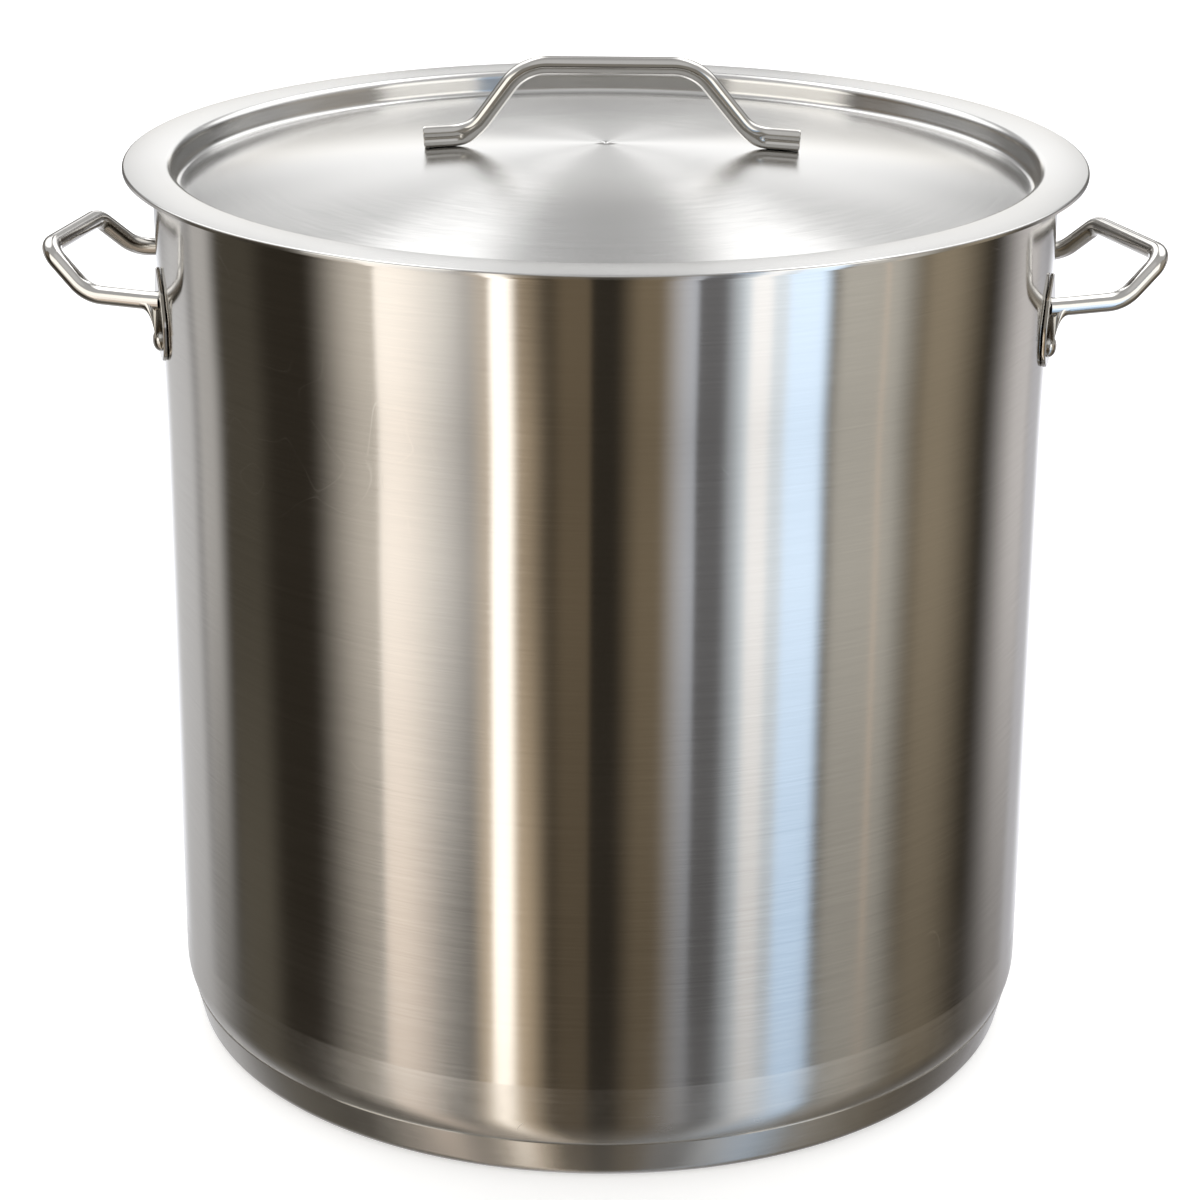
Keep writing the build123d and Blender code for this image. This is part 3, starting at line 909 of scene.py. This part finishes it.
def sky_light(board, way, behind, off_middle, strength):
    """The light overhead: soft boxes, and behind the kettle two panes with a dark gap between."""
    x, _, z = board.parts(way)
    boxes = 0.0
    for direction, off, full, light in SOFT_BOXES:
        boxes = boxes + board.arrows("DOT_PRODUCT", way, direction, 1).fade(off, full) * light
    rear_glow = behind * off_middle.fade(14.0, 6.0) * z.fade(0.4, 0.3) * 0.7
    dusk = behind * off_middle.fade(9.0, 16.0) * z.fade(0.38, 0.26)
    above = z - LID_MIRROR_Z
    lean = abs(x) / above.math("MAXIMUM", above, 0.02)
    gap = behind * lean.fade(0.45, 0.2) * z.fade(0.38, 0.5)
    panes = behind * lean.fade(0.2, 0.48) * lean.fade(1.1, 0.7)
    panes = panes * z.fade(0.44, 0.52) * z.fade(0.94, 0.86)
    soft = (boxes + rear_glow + 0.5) * (1.0 - gap * 0.2) * (1.0 - dusk * 0.6)
    sky = soft * strength + panes * 1.4
    return board.vector(sky, sky, sky)


# ---- operators ----

# The floor reaches this far, and lies this far under the base so that they don't touch.
FLOOR_RADIUS = 60.0
FLOOR_DROP = 0.0003


class KETTLE_OT_wall(bpy.types.Operator):
    """Spin the kettle's wall with its rim"""

    bl_idname = "kettle.make_wall"
    bl_label = "Wall"

    def execute(self, context):
        settings = context.scene.kettle
        sizes = settings.kettle
        inside = DISH_HIGH.x - sizes.sheet
        neck = inside + sizes.ease_out
        span = sizes.ease_end - sizes.ease_start
        section = [(inside, BARREL_LOW.z, 0.0)]
        for share in (k / EASE_STEPS for k in range(EASE_STEPS + 1)):
            radius = inside + sizes.ease_out * wall_ease(share)
            section.append((radius, sizes.ease_start + span * share, 0.0))
        section += [
            (neck, BARREL_HIGH.z, sizes.rim_bend),
            (BARREL_HIGH.x, BARREL_HIGH.z, sizes.rim_edge_bend),
            (BARREL_HIGH.x, BARREL_HIGH.z - sizes.rim_drop, 0.0),
        ]
        steel = brushed_wall("brushed wall steel", settings.looks, BARREL_LOW.z, BARREL_HIGH.z)
        mesh = spun_piece("wall", section, SHEET_RIGHT, sizes.sheet, steel)
        show("wall", mesh, KETTLE, ["barrel"])
        return {"FINISHED"}


class KETTLE_OT_base(bpy.types.Operator):
    """Spin the drawn bottom and the cap under it, and finish the core"""

    bl_idname = "kettle.make_base"
    bl_label = "Base"

    def execute(self, context):
        settings = context.scene.kettle
        sizes = settings.kettle
        inside = DISH_HIGH.x - sizes.sheet
        section = [
            (0.0, sizes.floor, 0.0),
            (inside, sizes.floor, sizes.dish_corner),
            (inside, DISH_HIGH.z, 0.0),
        ]
        steel = brushed_wall("brushed bottom steel", settings.looks, 0.0, BARREL_HIGH.z, 1.0)
        mesh = spun_piece("drawn_bottom", section, SHEET_RIGHT, sizes.sheet, steel, 14)
        show("drawn_bottom", mesh, KETTLE, ["bottom_dish"])
        section = [
            (0.0, 0.0, 0.0),
            (sizes.cap_corner, 0.0, sizes.cap_bend),
            (CAP_HIGH.x, CAP_HIGH.z, 0.0),
        ]
        steel = brushed_wall("brushed base steel", settings.looks, 0.0, BARREL_HIGH.z, 0.8)
        mesh = spun_piece("base_pan", section, SHEET_LEFT, sizes.cap_sheet, steel, 12)
        show("base_pan", mesh, KETTLE, ["base_cap"])
        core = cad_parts["base_core"]
        core.data.materials.clear()
        core.data.materials.append(pressed_aluminium("pressed aluminium"))
        return {"FINISHED"}


class KETTLE_OT_lid(bpy.types.Operator):
    """Spin the lid"""

    bl_idname = "kettle.make_lid"
    bl_label = "Lid"

    def execute(self, context):
        settings = context.scene.kettle
        sizes = settings.lid
        mark_floor = LID_HIGH.z - sizes.mark_depth
        section = [(0.0, mark_floor, 0.0), (sizes.mark_radius / 2, mark_floor, 0.0)]
        steps = 40
        for k in range(steps + 1):
            radius = sizes.mark_radius + (sizes.recess_radius - sizes.mark_radius) * k / steps
            bend = sizes.recess_fillet if k == steps else 0.0
            section.append((radius, crown(radius, sizes)[0], bend))
        section += [
            (sizes.recess_radius, sizes.flange_height, sizes.recess_bend),
            (LID_HIGH.x, sizes.flange_height, sizes.lip_bend),
            (LID_HIGH.x, sizes.flange_height - sizes.lip_drop, 0.0),
        ]
        steel = brushed_lid("brushed lid steel", settings.looks)
        mesh = spun_piece("lid_sheet", section, SHEET_RIGHT, sizes.sheet, steel)
        show("lid_sheet", mesh, LID, ["lid"])
        return {"FINISHED"}


class KETTLE_OT_side_handles(bpy.types.Operator):
    """Bend the two side handles"""

    bl_idname = "kettle.make_side_handles"
    bl_label = "Side handles"

    def execute(self, context):
        settings = context.scene.kettle
        sizes = settings.handle
        steel = polished_tube("polished handle steel", settings.looks)
        for side, reaches in (("right", sizes.right_reaches), ("left", sizes.left_reaches)):
            mesh = side_handle_mesh(f"grip_{side}", sizes, reaches, side == "left", steel)
            show(f"grip_{side}", mesh, KETTLE, [f"{side}_handle"])
        return {"FINISHED"}


class KETTLE_OT_rivets(bpy.types.Operator):
    """Set the rivets through the ears and the wall"""

    bl_idname = "kettle.make_rivets"
    bl_label = "Rivets"

    def execute(self, context):
        settings = context.scene.kettle
        sizes = settings.handle
        steel = polished_tube("polished rivet steel", settings.looks)
        head, rise = sizes.rivet_head, sizes.rivet_rise
        seat, low = sizes.rivet_inner_seat, sizes.rivet_inner_rise
        slopes = [math.pi / 2 * k / 10 for k in range(11)]
        dome = [(head * math.sin(a), rise * math.cos(a)) for a in slopes]
        section = [(r, sizes.ear_sheet + h) for r, h in dome]
        section += [(head / 2, sizes.ear_sheet), (head / 2, -seat)]
        section += [(r, -seat - h * low / rise) for r, h in reversed(dome)]
        line = edge_line("rivet", [((r, 0.0, h), 0.0) for r, h in section])
        values = {"Segments": 48, "Bend Steps": 1, "Material": steel}
        mesh = tidy_mesh(grown("rivet", line, spun_sheet_tree(), values), DOME_EDGE)
        one = bpy.data.objects.new("rivet", mesh)
        turn = sizes.ear_azimuth
        frames = [ear_frame(sizes, a) for a in (-turn, turn, math.pi - turn, math.pi + turn)]
        points = bpy.data.meshes.new("rivet places")
        points.from_pydata([ear.translation for ear in frames], [], [])
        outward = points.attributes.new("outward", "FLOAT_VECTOR", "POINT")
        outward.data.foreach_set("vector", [value for ear in frames for value in ear.col[2][:3]])
        mesh = grown("rivets", points, rivet_set_tree(), {"Rivet": one, "Material": steel})
        bpy.data.objects.remove(one)
        nodes = [f"rivet_{side}_{end}" for side in ("left", "right") for end in ("front", "rear")]
        show("rivets", tidy_mesh(mesh, DOME_EDGE), KETTLE, nodes)
        return {"FINISHED"}


class KETTLE_OT_lid_handle(bpy.types.Operator):
    """Bend the lid's handle and press its feet"""

    bl_idname = "kettle.make_lid_handle"
    bl_label = "Lid handle"

    def execute(self, context):
        settings = context.scene.kettle
        sizes = settings.handle
        middle = (sizes.knee + sizes.foot_end) / 2
        seat, ball = crown(middle, settings.lid)
        inner, outer = (crown(reach, settings.lid)[0] for reach in (sizes.knee, sizes.foot_end))
        run = Vector((sizes.foot_end - sizes.knee, 0.0, outer - inner)).normalized()
        up = Vector((-run.z, 0.0, run.x))
        seat = Vector((middle, 0.0, seat)) + up * sizes.foot_height / 2
        knee = seat + run * ((sizes.knee - middle) / run.x)
        heel = seat + run * ((sizes.foot_end - middle) / run.x)
        bar_height = BAR_HIGH.z - sizes.tube / 2
        bends = (0.0, sizes.knee_bend, sizes.bar_bend)
        left, right = (
            list(zip((heel, knee, Vector((half_bar, 0.0, bar_height))), bends))
            for half_bar in (sizes.bar_left, sizes.bar_right)
        )
        corners = [(Vector((-place.x, 0.0, place.z)), bend) for place, bend in left] + right[::-1]
        centre = Matrix.Translation((0.0, 0.0, LID_HIGH.z - ball))
        slide = Matrix.Rotation(math.asin(sizes.bar_offset / ball), 4, "Y")
        slide = centre @ slide @ centre.inverted()
        steel = polished_tube("polished lid handle steel", settings.looks)
        values = {
            "Tube Radius": sizes.tube / 2,
            "Foot Length": sizes.foot_end - sizes.knee - sizes.tube / 2,
            "Foot Half Width": sizes.foot_width / 2,
            "Foot Half Height": sizes.foot_height / 2,
            "Material": steel,
        }
        line = edge_line("lid_bar", [(slide @ place, bend) for place, bend in corners])
        rim = {"width": 0.0005, "segments": 3, "angle_limit": math.radians(60)}
        rim["limit_method"] = "ANGLE"
        mesh = grown("lid_bar", line, bent_tube_tree(), values, (("BEVEL", rim),))
        show("lid_bar", tidy_mesh(mesh), LID, ["lid_handle"])
        return {"FINISHED"}


class KETTLE_OT_stage(bpy.types.Operator):
    """Set up the floor, the light and the camera"""

    bl_idname = "kettle.make_stage"
    bl_label = "Stage"

    def execute(self, context):
        settings = context.scene.kettle.stage
        scene = context.scene
        scene.view_settings.view_transform = "Standard"
        self.floor(settings)
        self.light(scene, settings)
        lens = bpy.data.cameras.new("camera")
        lens.lens, lens.sensor_width = settings.lens, 36.0
        lens.clip_start, lens.clip_end = 0.05, 200.0
        camera = bpy.data.objects.new("camera", lens)
        scene.collection.objects.link(camera)
        turn = Matrix.Rotation(settings.pan, 4, "Z")
        turn = turn @ Matrix.Rotation(math.pi / 2 - settings.tilt, 4, "X")
        turn = turn @ Matrix.Rotation(settings.roll, 4, "Z")
        camera.matrix_world = Matrix.Translation(settings.camera_place) @ turn
        scene.camera = camera
        return {"FINISHED"}

    @staticmethod
    def floor(settings):
        """A wide white floor just under the base, seen from above only."""
        mesh = bpy.data.meshes.new("floor")
        work = bmesh.new()
        bmesh.ops.create_circle(work, cap_ends=True, segments=96, radius=FLOOR_RADIUS)
        bmesh.ops.translate(work, verts=work.verts, vec=(0.0, 0.0, -FLOOR_DROP))
        work.to_mesh(mesh)
        work.free()
        floor = bpy.data.objects.new("floor", mesh)
        bpy.context.scene.collection.objects.link(floor)
        paper = bpy.data.materials.new("white floor")
        paper.use_nodes = True
        board = Board(paper.node_tree)
        shader = paper.node_tree.nodes["Principled BSDF"]
        shader.inputs["Base Color"].default_value = (0.9, 0.9, 0.9, 1.0)
        shader.inputs["Roughness"].default_value = 0.9
        shader.inputs["Specular IOR Level"].default_value = 0.0
        shader.inputs["Emission Color"].default_value = WHITE
        shader.inputs["Emission Strength"].default_value = settings.floor_glow
        below = board.outputs(board.add("ShaderNodeNewGeometry"))["Backfacing"]
        clear = board.add("ShaderNodeBsdfTransparent")
        lit = Wire(board, shader.outputs[0])
        mixed = board.add("ShaderNodeMixShader", None, {0: below, 1: lit, 2: clear})
        board.tree.links.new(mixed.socket, board.tree.nodes["Material Output"].inputs["Surface"])
        mesh.materials.append(paper)
        floor.visible_glossy = False

    @staticmethod
    def light(scene, settings):
        """Soft light overhead, cards all round, and plain white where the camera looks past."""
        world = bpy.data.worlds.new("studio")
        scene.world = world
        world.use_nodes = True
        world.node_tree.nodes.clear()
        board = Board(world.node_tree)
        way = board.outputs(board.add("ShaderNodeTexCoord"))["Generated"]
        x, y, z = board.parts(way)
        azimuth = x.math("ARCTAN2", x, -y) * math.degrees(1)
        behind = y.fade(-0.1, 0.3)
        off_middle = 180.0 - abs(azimuth)
        cards = card_light(board, azimuth, z)
        sky = sky_light(board, way, behind, off_middle, settings.sky_light)
        sky_share = z.fade(0.45 - 0.35 * behind, 0.62 - 0.4 * behind)
        horizon = behind * off_middle.fade(40.0, 25.0) * z.fade(-0.28, -0.2) * z.fade(0.17, 0.08)
        all_round = board.blend(sky_share, cards, sky)
        all_round = board.blend(horizon * 0.8, all_round, DARK_HORIZON)
        seen = board.outputs(board.add("ShaderNodeLightPath"))["Is Camera Ray"]
        colour = board.blend(seen, all_round, WHITE)
        glow = board.add("ShaderNodeBackground", None, {"Color": colour, "Strength": 1.0})
        board.add("ShaderNodeOutputWorld", None, {"Surface": glow})


class KETTLE_PT_panel(bpy.types.Panel):
    """Buttons that make the kettle piece by piece"""

    bl_idname = "KETTLE_PT_panel"
    bl_label = "Brew Kettle"
    bl_space_type = "VIEW_3D"
    bl_region_type = "UI"
    bl_category = "Kettle"

    def draw(self, context):
        settings = context.scene.kettle
        for group in ("kettle", "lid", "handle", "looks", "stage"):
            box = self.layout.box()
            values = getattr(settings, group)
            box.label(text=group.title())
            for name in values.bl_rna.properties.keys():
                if name not in ("rna_type", "name"):
                    box.prop(values, name)
        for step in STEPS:
            self.layout.operator(step.bl_idname)


STEPS = (
    KETTLE_OT_stage,
    KETTLE_OT_wall,
    KETTLE_OT_base,
    KETTLE_OT_lid,
    KETTLE_OT_side_handles,
    KETTLE_OT_rivets,
    KETTLE_OT_lid_handle,
)
CLASSES = (
    KettleSizes,
    LidSizes,
    HandleSizes,
    KettleLooks,
    StageSettings,
    KettleSettings,
    *STEPS,
    KETTLE_PT_panel,
)


def register():
    for cls in CLASSES:
        bpy.utils.register_class(cls)
    bpy.types.Scene.kettle = PointerProperty(type=KettleSettings)


def unregister():
    del bpy.types.Scene.kettle
    for cls in reversed(CLASSES):
        bpy.utils.unregister_class(cls)


def main():
    register()
    for step in STEPS:
        group, operator = step.bl_idname.split(".")
        if getattr(getattr(bpy.ops, group), operator)() != {"FINISHED"}:
            raise RuntimeError(f"{step.bl_label} was not made")


if __name__ == "__main__":
    main()
